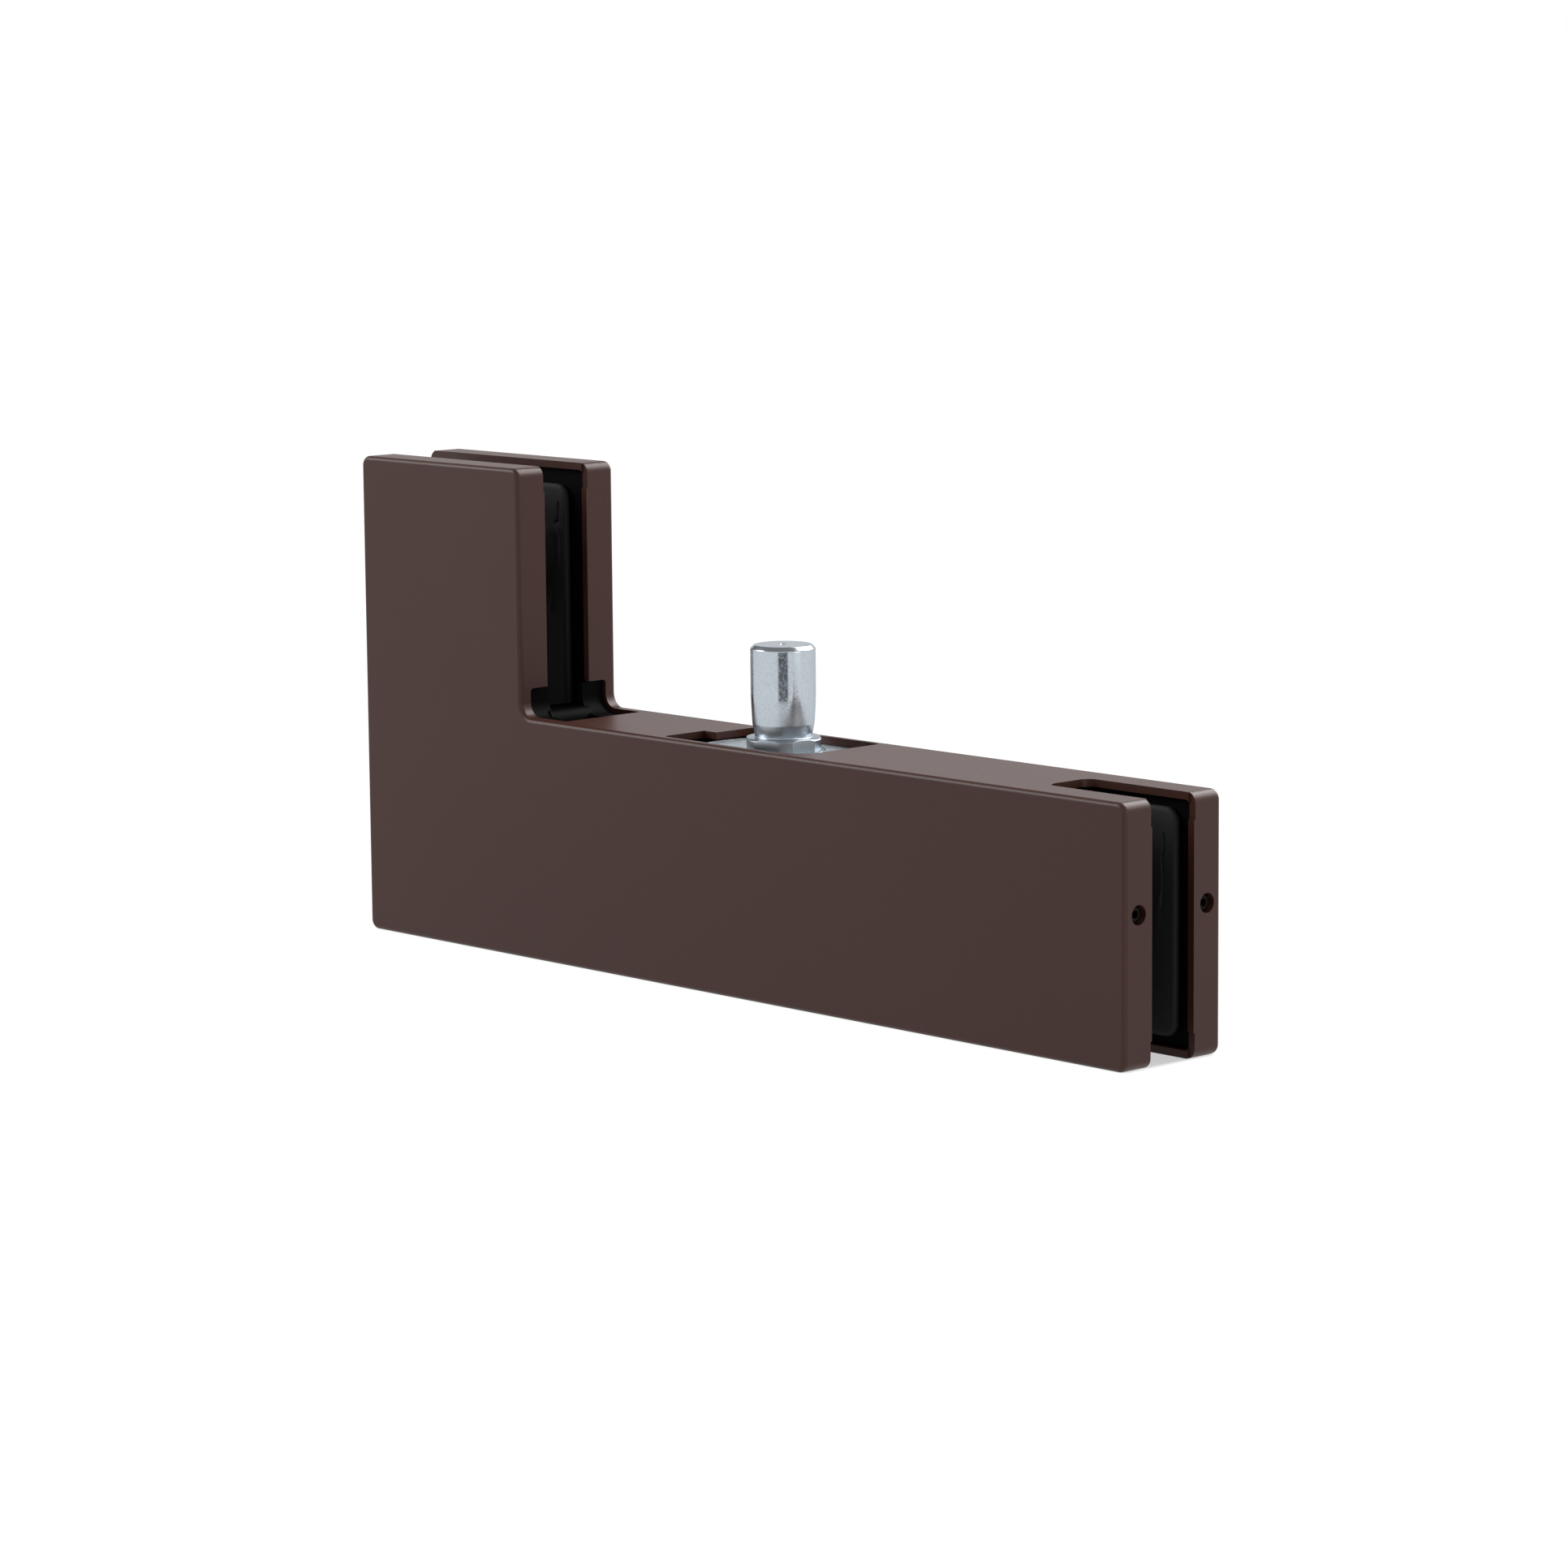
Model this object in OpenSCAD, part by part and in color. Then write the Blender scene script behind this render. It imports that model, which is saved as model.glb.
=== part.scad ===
// Transom patch fitting: an L-shaped glass clamp with a screwed pivot pin.
// It stands on the long edge of its beam, with the arm rising at the left end.
// X runs along the beam, Y through the glass, Z up. The origin is under the middle of the beam.

/* [Outline] */
// Length of the beam
beam_l = 238; // [210:1:300]
// Height of the beam
beam_h = 54; // [50:1:70]
// Width of the arm
arm_w = 55; // [48:1:75]
// Height of the arm, from the beam's lower edge
arm_h = 109.2; // [95:0.1:150]
// Thickness of the whole fitting
thick = 28; // [27:0.5:36]
// Radius of the outer corners
corner_r = 2.2; // [2.2:0.1:5]
// Radius in the inner corner of the L
inner_r = 3.2; // [2:0.1:8]

/* [Covers] */
// Thickness of a cover's face
cover_plate = 2; // [1.5:0.1:3]
// Thickness of a cover's walls
cover_wall = 1.6; // [1.2:0.1:2.2]
// Rounding along the face's edge
edge_r = 1; // [0.5:0.1:1.1]
// Open gap between the two covers' rims
rim_gap = 12.2; // [8:0.1:16]
// Length of the open slot at the beam's free end
slot_l = 29; // [15:1:50]
// Corner radius of that slot
slot_r = 2.5; // [1:0.5:5]
// How much lower an upright rim lies at its ends
rim_step = 0.35; // [0.2:0.05:1]
// Length of that lower stretch
rim_step_l = 5.5; // [3:0.5:8]

/* [Pin opening] */
// From the pin's axis to the opening's left edge in the front cover
open_left = 25.3; // [20:0.1:30]
// How much nearer that edge is in the rear cover
open_step = 4; // [0:0.5:8]
// From the pin's axis to the opening's right edge
open_right = 17.3; // [12:0.1:19]
// Corner radius of the opening
open_r = 1.5; // [1:0.1:4]
// Corner radius at the opening's right end in the front cover
open_round = 7; // [1:0.5:9]

/* [Inner corner] */
// Length of the corner notch along the beam
notch_l = 11.8; // [9:0.1:16]
// Height of the corner notch up the arm
notch_h = 6.3; // [5:0.1:14]
// Face left uncut outside the notch
notch_skin = 3; // [2.2:0.1:4]
// Corner radius of the notch
notch_r = 0.8; // [0.4:0.1:4]
// How far the corner spacer's lobes lie under the covers' surface
lobe_recess = 1; // [0.4:0.1:1.4]
// How far those lobes reach in from the covers' surface
lobe_depth = 2.6; // [2.3:0.1:4]
// Width of the slot between the lobes
lobe_slot = 9.8; // [6:0.1:11]
// Depth of the spacer's web inside the L
web_depth = 9; // [6:0.5:14]
// How far the web stands out of the inner corner, along the beam
web_out = 1.7; // [0.5:0.1:4]
// How far the web stands out of the inner corner, up the arm
web_up = 1; // [0.3:0.1:3]
// Corner radius of the web
web_r = 3; // [1:0.5:4]
// How far the web reaches into each lobe
web_lap = 1; // [0.5:0.1:1.1]

/* [Pads and clamps] */
// Clear gap between the pads, where the glass goes
glass_gap = 12.4; // [9:0.1:16]
// Thickness of a pad
pad_t = 1.7; // [1:0.1:2.5]
// From the outline's ends to the pads
pad_end = 5.2; // [3:0.1:9]
// From the beam's long edges to the pads
pad_edge = 3.6; // [2.6:0.1:7]
// From the arm's long edges to its pads
pad_side = 7.5; // [3:0.1:12]
// Corner radius of the pads
pad_r = 3; // [1:0.5:5]
// Room between a pad and the pivot block
pad_room = 2; // [1:0.5:5]

/* [Pivot] */
// From the arm's inner wall to the pin's axis
pin_offset = 70.3; // [62:0.1:80]
// Diameter of the pin's barrel
pin_d = 14; // [12:0.5:16]
// Height of the pin above the beam
pin_h = 21; // [16:0.5:35]
// Chamfer at the pin's top
pin_chamfer = 0.8; // [0.3:0.1:2]
// Diameter at the lower end of the barrel
pin_foot_d = 13.3; // [10.5:0.1:15]
// Height of the barrel's tapered stretch
pin_taper_l = 5.5; // [2:0.1:8]
// Diameter of the tapered neck where it meets the hexagon
neck_d = 12.2; // [10:0.1:14]
// Height of the neck
neck_l = 2.9; // [1.5:0.1:4]
// Width across the flats of the pin's hexagon
hex_af = 15.7; // [13.5:0.1:16.5]
// Diameter over the hexagon's blunted corners
hex_over_d = 16.6; // [14:0.1:17.5]
// Turn of the hexagon about the pin
hex_turn = 20; // [0:1:60]
// Height of the hexagon
hex_h = 2.9; // [2:0.1:5]
// Chamfer round the hexagon's top
hex_chamfer = 0.3; // [0.2:0.1:1]
// Diameter of the pin's threaded shank
shank_d = 10; // [8:0.5:11]
// Length of the threaded shank
shank_l = 22; // [15:1:28]
// Thickness of the washer under the hexagon
washer_t = 1; // [0.6:0.1:1.6]
// Outer diameter of that washer
washer_d = 17.6; // [17:0.1:21]
// Diameter of the pivot block's flange, which has two flats along the covers
flange_d = 41.2; // [36:0.1:48]
// Thickness of the flange
flange_t = 3; // [2.4:0.1:5]
// Length of the pivot block under its flange
block_l = 36; // [34:0.5:46]
// Height of the pivot block under its flange
block_h = 29; // [24:0.5:34]

/* [Screws] */
// Diameter of the clamp screws
screw_d = 6; // [4:0.5:7]
// Head diameter of the clamp screws
head_d = 11.4; // [9:0.1:13]
// Width across the flats of the clamp screws' sockets
socket_af = 4; // [3:0.5:5]
// Outer diameter of the sleeves round the screws
sleeve_d = 12; // [10:0.5:14]
// From the pin's axis to the middle screw
mid_screw_x = 45; // [36:1:55]
// From the beam's free end to the end screw
end_screw_x = 26; // [20:1:34]
// From the pin's axis to the screws through the pivot block
block_screw_x = 12.5; // [10.5:0.1:13]
// From the flange down to those screws
block_screw_z = 16; // [9:0.5:18]
// Diameter of the grub screws
grub_d = 3; // [2:0.5:3]
// Length of a grub screw
grub_l = 8; // [5:0.5:12]
// Diameter of the hole in a cover's end that a grub screw reaches into
grub_hole_d = 4.1; // [3.2:0.1:5]
// Height of the grub screws above the lower edge
grub_z = 31.4; // [20:0.1:38]
// How deep a grub screw's end lies in that hole
grub_recess = 1; // [0.3:0.1:1.2]
// Width across the flats of a grub screw's socket
grub_af = 1.5; // [0.9:0.1:1.6]

/* [Fits] */
// Room between a loose piece and the piece round it
fit_gap = 0.2; // [0.1:0.05:0.4]
// Radial room in a threaded or turning fit
thread_gap = 0.05; // [0.03:0.01:0.1]

/* [Hidden] */
$fn = 64;

// A cut runs this far past the faces that it opens
over = 1;
// An outline drawn in keeps at least this corner radius
least_r = 0.4;
half_t = thick / 2;
face_y = half_t - cover_plate;
rim_y = rim_gap / 2;
pad_y = glass_gap / 2;
clamp_y = pad_y + pad_t;
clamp_inset = cover_wall + fit_gap;
wall_top = beam_h - cover_wall;
closed_from = arm_w + notch_l;
closed_to = beam_l - slot_l;
notch_y = half_t - notch_skin;

pin_x = arm_w + pin_offset;
flange_top = wall_top - fit_gap / 2;
flange_z = flange_top - flange_t;
block_z = flange_z - block_h;
hex_top = flange_top + hex_h;
barrel_z = hex_top + neck_l;
pin_top = beam_h + pin_h;

grub_y = (clamp_y + face_y) / 2;
grub_head = beam_l - grub_recess;
grub_tip = grub_head - grub_l;

// Places of the clamp screws, as X and Z
arm_at = [arm_w / 2, (beam_h + arm_h) / 2];
corner_at = [arm_w / 2, beam_h / 2];
mid_at = [pin_x + mid_screw_x, beam_h / 2];
end_at = [beam_l - end_screw_x, beam_h / 2];
block_left_at = [pin_x - block_screw_x, flange_top - block_screw_z];
block_right_at = [pin_x + block_screw_x, flange_top - block_screw_z];
glass_screws = [arm_at, corner_at, mid_at, end_at];
block_screws = [block_left_at, block_right_at];
screws = concat(glass_screws, block_screws);

// Colours
bronze = "#483A37";
black_alloy = "#1B1B1C";
rubber = "#232426";
nylon = "#141415";
zinc = "#C3C9CC";
steel = "#8E9496";

// Puts the left end's lower corner where it belongs
module placed() {
    translate([-beam_l / 2, 0, 0]) children();
}

// Stands a drawing in X and Z up between two Y planes
module slab(y0, y1) {
    translate([0, y1, 0]) rotate([90, 0, 0]) linear_extrude(y1 - y0) children();
}

// A bar along Y at a place in X and Z
module along_y(at, r, y0, y1) {
    translate([at[0], y0, at[1]]) rotate([-90, 0, 0]) cylinder(h = y1 - y0, r = r);
}

module rounded_box(x0, y0, x1, y1, r) {
    translate([x0 + r, y0]) square([x1 - x0 - 2 * r, y1 - y0]);
    translate([x0, y0 + r]) square([x1 - x0, y1 - y0 - 2 * r]);
    for (x = [x0 + r, x1 - r], y = [y0 + r, y1 - r]) translate([x, y]) circle(r);
}

// Fills an inner corner at the drawing's origin, towards plus X and plus Y
module corner_fill(r) {
    difference() {
        translate([-over, -over]) square(r + over);
        translate([r, r]) circle(r);
    }
}

// The L outline, drawn in by a distance
module outline(inset) {
    r = max(corner_r - inset, least_r);
    rounded_box(inset, inset, beam_l - inset, beam_h - inset, r);
    rounded_box(inset, inset, arm_w - inset, arm_h - inset, r);
    translate([arm_w - inset, beam_h - inset]) corner_fill(inner_r + inset);
}

// One cover's solid block, with its face edge rounded off
module cover_block() {
    slab(rim_y, half_t - edge_r) outline(0);
    slab(rim_y, half_t) outline(edge_r);
    edge_y = half_t - edge_r;
    for (z = [edge_r, beam_h - edge_r]) {
        x0 = z == edge_r ? corner_r : arm_w + inner_r;
        translate([x0, edge_y, z]) rotate([0, 90, 0]) cylinder(h = beam_l - corner_r - x0, r = edge_r);
    }
    translate([corner_r, edge_y, arm_h - edge_r]) rotate([0, 90, 0])
        cylinder(h = arm_w - 2 * corner_r, r = edge_r);
    translate([edge_r, edge_y, corner_r]) cylinder(h = arm_h - 2 * corner_r, r = edge_r);
    translate([beam_l - edge_r, edge_y, corner_r]) cylinder(h = beam_h - 2 * corner_r, r = edge_r);
    translate([arm_w - edge_r, edge_y, beam_h + inner_r])
        cylinder(h = arm_h - beam_h - inner_r - corner_r, r = edge_r);
    // Each outer corner's centre as X and Z, and the angle at which its quarter turn starts
    corners = [
        [corner_r, corner_r, 180],
        [beam_l - corner_r, corner_r, 270],
        [beam_l - corner_r, beam_h - corner_r, 0],
        [arm_w - corner_r, arm_h - corner_r, 0],
        [corner_r, arm_h - corner_r, 90]
    ];
    for (c = corners) translate([c[0], edge_y, c[1]]) rotate([90, 0, 0]) rotate([0, 0, c[2]])
        rotate_extrude(angle = 90) translate([corner_r - edge_r, 0]) circle(edge_r);
    translate([arm_w + inner_r, edge_y, beam_h + inner_r]) rotate([90, 0, 0]) rotate([0, 0, 180])
        rotate_extrude(angle = 90) translate([inner_r + edge_r, 0]) circle(edge_r);
}

// The stretch of the beam's top wall that reaches the middle plane
module closing_wall() {
    translate([0, 0, wall_top]) linear_extrude(cover_wall) {
        translate([closed_from, 0]) square([closed_to - closed_from, rim_y + over]);
        translate([closed_to, rim_y]) mirror([0, 1]) corner_fill(slot_r);
    }
}

// An upright wall's rim lies lower at its ends
module rim_steps() {
    // Where each cut starts, as X and Z
    starts = [
        [-over, -over],
        [-over, arm_h - rim_step_l],
        [arm_w - cover_wall, arm_h - rim_step_l],
        [beam_l - cover_wall, -over],
        [beam_l - cover_wall, beam_h - rim_step_l]
    ];
    for (s = starts) translate([s[0], rim_y - over, s[1]])
        cube([cover_wall + over, rim_step + over, rim_step_l + over]);
}

// Room for a spanner round the pin's hexagon
module pin_opening(left, right_r) {
    translate([0, 0, wall_top - over]) linear_extrude(cover_wall + 2 * over) intersection() {
        rounded_box(pin_x - left, -face_y, pin_x + open_right, face_y, open_r);
        rounded_box(pin_x - 2 * left, -face_y, pin_x + open_right, face_y, right_r);
    }
}

// The notch at the inner corner of the L, open out to the skin and drawn in by a gap
module corner_notch(gap) {
    depth = lobe_depth + fit_gap;
    y1 = notch_y - gap;
    translate([0, 0, beam_h - depth]) linear_extrude(depth + inner_r)
        rounded_box(arm_w - depth - notch_r, -y1, closed_from - gap, y1, notch_r);
    translate([arm_w - depth, 0, 0]) rotate([90, 0, 90]) linear_extrude(depth + inner_r)
        rounded_box(-y1, beam_h - depth - notch_r, y1, beam_h + notch_h - gap, notch_r);
}

// A bar along X on the grub screw's axis
module grub_bar(x0, x1, r) {
    translate([x0, grub_y, grub_z]) rotate([0, 90, 0]) cylinder(h = x1 - x0, r = r);
}

// A cover on the rear side, with the pin opening's left distance and its right corner radius
module cover(left, right_r) {
    difference() {
        union() {
            difference() {
                cover_block();
                slab(rim_y - over, face_y) outline(cover_wall);
                rim_steps();
            }
            closing_wall();
        }
        pin_opening(left, right_r);
        corner_notch(0);
        grub_bar(beam_l - cover_wall - over, beam_l + over, grub_hole_d / 2);
    }
}

module front_cover() {
    color(bronze) placed() mirror([0, 1, 0]) cover(open_left, open_round);
}

module rear_cover() {
    color(bronze) placed() cover(open_left - open_step, open_r);
}

// A clamp body on the rear side, without its screw holes
module clamp_body() {
    difference() {
        slab(clamp_y, face_y) outline(clamp_inset);
        translate([pin_x - flange_d / 2 - fit_gap, clamp_y - over, flange_z])
            cube([flange_d + 2 * fit_gap, face_y - clamp_y + 2 * over, beam_h]);
        grub_bar(grub_tip - fit_gap, beam_l, grub_d / 2 + thread_gap);
        corner_notch(0);
    }
}

module front_clamp() {
    color(black_alloy) placed() difference() {
        mirror([0, 1, 0]) clamp_body();
        for (at = screws) along_y(at, screw_d / 2 + thread_gap, -half_t, 0);
    }
}

module countersink(at, gap) {
    cone_h = (head_d - screw_d) / 2;
    translate([at[0], face_y - fit_gap - cone_h, at[1]]) rotate([-90, 0, 0])
        cylinder(h = cone_h + over, r1 = screw_d / 2 + gap, r2 = head_d / 2 + gap + over);
}

module rear_clamp() {
    color(black_alloy) placed() difference() {
        clamp_body();
        for (at = screws) {
            along_y(at, screw_d / 2 + fit_gap, 0, half_t);
            countersink(at, fit_gap);
        }
    }
}

module arm_pad() {
    difference() {
        slab(pad_y, clamp_y) rounded_box(pad_side, pad_edge, arm_w - pad_side, arm_h - pad_end, pad_r);
        for (at = [arm_at, corner_at]) along_y(at, sleeve_d / 2 + fit_gap, 0, half_t);
    }
}

// The beam's pad leaves room for the pivot block
module beam_pad() {
    room_l = flange_d + 2 * pad_room;
    difference() {
        slab(pad_y, clamp_y)
            rounded_box(closed_from, pad_edge, beam_l - pad_end, beam_h - pad_edge, pad_r);
        translate([pin_x - room_l / 2, 0, block_z - pad_room]) cube([room_l, half_t, beam_h]);
        for (at = [mid_at, end_at]) along_y(at, sleeve_d / 2 + fit_gap, 0, half_t);
    }
}

module front_arm_pad() {
    color(rubber) placed() mirror([0, 1, 0]) arm_pad();
}

module front_beam_pad() {
    color(rubber) placed() mirror([0, 1, 0]) beam_pad();
}

module rear_arm_pad() {
    color(rubber) placed() arm_pad();
}

module rear_beam_pad() {
    color(rubber) placed() beam_pad();
}

// Two lobes fill the corner notch, and a web between them keeps the glass edges apart
module corner_spacer() {
    web_y = lobe_slot / 2 + web_lap;
    color(nylon) placed() {
        difference() {
            intersection() {
                slab(-half_t, half_t) difference() {
                    outline(lobe_recess);
                    outline(lobe_depth);
                }
                corner_notch(fit_gap);
            }
            slab(-lobe_slot / 2, lobe_slot / 2) square([beam_l, arm_h]);
        }
        slab(-web_y, web_y) rounded_box(arm_w - web_depth, beam_h - web_depth,
            arm_w + web_out, beam_h + web_up, web_r);
    }
}

module pivot_block() {
    flange_y = face_y - fit_gap;
    color(zinc) placed() difference() {
        union() {
            intersection() {
                translate([pin_x, 0, flange_z]) cylinder(h = flange_t, r = flange_d / 2);
                translate([pin_x - flange_d, -flange_y, flange_z - over])
                    cube([2 * flange_d, 2 * flange_y, flange_t + 2 * over]);
            }
            translate([pin_x - block_l / 2, -clamp_y, block_z])
                cube([block_l, 2 * clamp_y, block_h + flange_t / 2]);
        }
        translate([pin_x, 0, block_z - over])
            cylinder(h = block_h + flange_t + 2 * over, r = shank_d / 2 + thread_gap);
        translate([pin_x, 0, flange_top - washer_t])
            cylinder(h = washer_t + over, r = washer_d / 2 + fit_gap);
        for (at = block_screws) along_y(at, screw_d / 2 + fit_gap, -half_t, half_t);
    }
}

module pin_washer() {
    color(steel) placed() translate([pin_x, 0, flange_top - washer_t]) difference() {
        cylinder(h = washer_t, r = washer_d / 2);
        translate([0, 0, -over]) cylinder(h = washer_t + 2 * over, r = shank_d / 2 + fit_gap);
    }
}

module pivot_pin() {
    hex_mid = hex_top - hex_h / 2;
    profile = [
        [0, flange_top - shank_l],
        [shank_d / 2, flange_top - shank_l],
        [shank_d / 2, hex_mid],
        [neck_d / 2, hex_mid],
        [neck_d / 2, hex_top],
        [pin_foot_d / 2, barrel_z],
        [pin_d / 2, barrel_z + pin_taper_l],
        [pin_d / 2, pin_top - pin_chamfer],
        [pin_d / 2 - pin_chamfer, pin_top],
        [0, pin_top]
    ];
    hex_r = hex_af / 2 / cos(30);
    hex_over_r = hex_over_d / 2;
    color(zinc) placed() translate([pin_x, 0, 0]) {
        rotate_extrude() polygon(profile);
        translate([0, 0, flange_top]) intersection() {
            rotate([0, 0, hex_turn]) cylinder(h = hex_h, r = hex_r, $fn = 6);
            union() {
                cylinder(h = hex_h - hex_chamfer, r = hex_over_r);
                translate([0, 0, hex_h - hex_chamfer])
                    cylinder(h = hex_chamfer, r1 = hex_over_r, r2 = hex_over_r - hex_chamfer);
            }
        }
    }
}

// A countersunk screw from the rear clamp into the front one
module clamp_screw(at) {
    socket_r = socket_af / 2 / cos(30);
    head_y = face_y - fit_gap;
    cone_h = (head_d - screw_d) / 2;
    color(steel) placed() difference() {
        union() {
            along_y(at, screw_d / 2, -head_y, head_y - cone_h);
            translate([at[0], head_y - cone_h, at[1]]) rotate([-90, 0, 0])
                cylinder(h = cone_h, r1 = screw_d / 2, r2 = head_d / 2);
        }
        translate([at[0], head_y - cone_h, at[1]]) rotate([-90, 0, 0])
            cylinder(h = cone_h + over, r = socket_r, $fn = 6);
    }
}

module arm_screw() {
    clamp_screw(arm_at);
}

module corner_screw() {
    clamp_screw(corner_at);
}

module mid_screw() {
    clamp_screw(mid_at);
}

module end_screw() {
    clamp_screw(end_at);
}

module block_screw_left() {
    clamp_screw(block_left_at);
}

module block_screw_right() {
    clamp_screw(block_right_at);
}

// A sleeve that keeps the glass off a screw
module sleeve(at) {
    color(nylon) placed() difference() {
        along_y(at, sleeve_d / 2, -clamp_y, clamp_y);
        along_y(at, screw_d / 2 + fit_gap, -half_t, half_t);
    }
}

module arm_sleeve() {
    sleeve(arm_at);
}

module corner_sleeve() {
    sleeve(corner_at);
}

module mid_sleeve() {
    sleeve(mid_at);
}

module end_sleeve() {
    sleeve(end_at);
}

// A socket set screw in the rear clamp's end, which keeps the cover from sliding off
module grub_screw() {
    socket_r = grub_af / 2 / cos(30);
    socket_l = grub_l / 4;
    difference() {
        grub_bar(grub_tip, grub_head, grub_d / 2);
        translate([grub_head - socket_l, grub_y, grub_z]) rotate([0, 90, 0])
            cylinder(h = socket_l + over, r = socket_r, $fn = 6);
    }
}

module front_grub_screw() {
    color(steel) placed() mirror([0, 1, 0]) grub_screw();
}

module rear_grub_screw() {
    color(steel) placed() grub_screw();
}

front_cover();
rear_cover();
front_clamp();
rear_clamp();
front_arm_pad();
front_beam_pad();
rear_arm_pad();
rear_beam_pad();
corner_spacer();
pivot_block();
pin_washer();
pivot_pin();
arm_screw();
corner_screw();
mid_screw();
end_screw();
block_screw_left();
block_screw_right();
arm_sleeve();
corner_sleeve();
mid_sleeve();
end_sleeve();
front_grub_screw();
rear_grub_screw();
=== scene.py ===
"""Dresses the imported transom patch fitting: coated covers, rubber pads, plated pivot and its studio."""

import logging
import math
from collections.abc import Callable, Sequence
from dataclasses import dataclass
from enum import Enum
from typing import Any

import bmesh
import bpy
from bmesh.types import BMesh
from bpy.types import Material, Mesh, Node, NodeSocket, NodeTree, Object
from mathutils import Matrix, Vector, noise


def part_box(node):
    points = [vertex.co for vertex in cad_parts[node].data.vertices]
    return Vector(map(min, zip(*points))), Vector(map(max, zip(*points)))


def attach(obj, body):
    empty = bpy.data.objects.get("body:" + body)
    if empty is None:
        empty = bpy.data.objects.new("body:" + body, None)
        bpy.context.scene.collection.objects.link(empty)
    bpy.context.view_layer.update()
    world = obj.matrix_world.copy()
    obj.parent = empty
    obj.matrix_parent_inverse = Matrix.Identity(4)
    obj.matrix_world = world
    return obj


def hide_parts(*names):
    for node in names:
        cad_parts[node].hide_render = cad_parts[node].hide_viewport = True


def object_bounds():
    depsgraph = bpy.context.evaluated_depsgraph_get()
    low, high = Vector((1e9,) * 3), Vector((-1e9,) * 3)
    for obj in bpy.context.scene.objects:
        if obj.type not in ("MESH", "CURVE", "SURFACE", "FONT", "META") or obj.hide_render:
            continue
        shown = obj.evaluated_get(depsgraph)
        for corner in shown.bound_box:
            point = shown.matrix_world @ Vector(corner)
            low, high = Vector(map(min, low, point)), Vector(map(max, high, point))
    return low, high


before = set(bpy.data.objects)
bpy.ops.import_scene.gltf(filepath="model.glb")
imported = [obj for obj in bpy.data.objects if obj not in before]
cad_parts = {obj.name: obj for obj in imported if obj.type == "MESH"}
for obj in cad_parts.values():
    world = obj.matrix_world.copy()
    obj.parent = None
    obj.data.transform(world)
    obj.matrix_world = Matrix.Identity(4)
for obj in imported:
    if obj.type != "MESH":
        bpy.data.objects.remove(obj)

LOG = logging.getLogger("patch_fitting")
MM = 0.001
MERGE_MM = 0.002
SLIVER_MM = 0.001
FLAT_DEG = 0.3
CAD_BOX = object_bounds()


class Body(Enum):
    """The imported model's bodies."""

    FITTING = "fitting"
    WASHER = "washer"
    PIN = "pin"


class Slot(Enum):
    """The material slots of the finishes."""

    COAT = "bronze_coat"
    ALLOY = "black_alloy"
    RUBBER = "pad_rubber"
    NYLON = "black_nylon"
    ZINC = "zinc_plate"
    STEEL = "screw_steel"


class Side(Enum):
    """The two halves of the fitting, each with its direction along Y."""

    FRONT = -1
    REAR = 1

    @property
    def word(self) -> str:
        """The side's name as the CAD nodes spell it."""
        return self.name.lower()


def linear(code: str) -> tuple[float, float, float, float]:
    """Turns an sRGB hex colour to linear light.

    Args:
        code: The colour as #RRGGBB.

    Returns:
        Linear red, green and blue, and an alpha of 1.
    """
    parts = [int(code[i:i + 2], 16) / 255 for i in (1, 3, 5)]
    red, green, blue = (p / 12.92 if p <= 0.04045 else ((p + 0.055) / 1.055) ** 2.4 for p in parts)
    return red, green, blue, 1.0


def per_mm(size_mm: float) -> float:
    """The texture scale that gives features of a size in millimetres."""
    return 1 / (size_mm * MM)


def add_node(tree: NodeTree, kind: str, inputs: dict[str | int, Any] | None = None, **settings: Any) -> Node:
    """Adds one node with its settings, its values and its links.

    Args:
        tree: The tree that takes the node.
        kind: The node's type name.
        inputs: For each socket, a value, or the output socket that feeds it.
        settings: The node's own properties.

    Returns:
        The new node.
    """
    node = tree.nodes.new(kind)
    for name, value in settings.items():
        setattr(node, name, value)
    for name, value in (inputs or {}).items():
        if isinstance(value, NodeSocket):
            tree.links.new(value, node.inputs[name])
        else:
            node.inputs[name].default_value = value
    return node


def blank_material(name: str) -> tuple[Material, NodeTree, NodeSocket]:
    """Starts a material.

    Args:
        name: The material's name.

    Returns:
        The material, its emptied tree and its Object coordinates.
    """
    material = bpy.data.materials.new(name)
    material.use_nodes = True
    tree = material.node_tree
    tree.nodes.clear()
    return material, tree, add_node(tree, "ShaderNodeTexCoord").outputs["Object"]


def close_material(tree: NodeTree, shader: Node) -> None:
    """Wires a shader to the tree's output."""
    add_node(tree, "ShaderNodeOutputMaterial", {"Surface": shader.outputs[0]})


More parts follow.
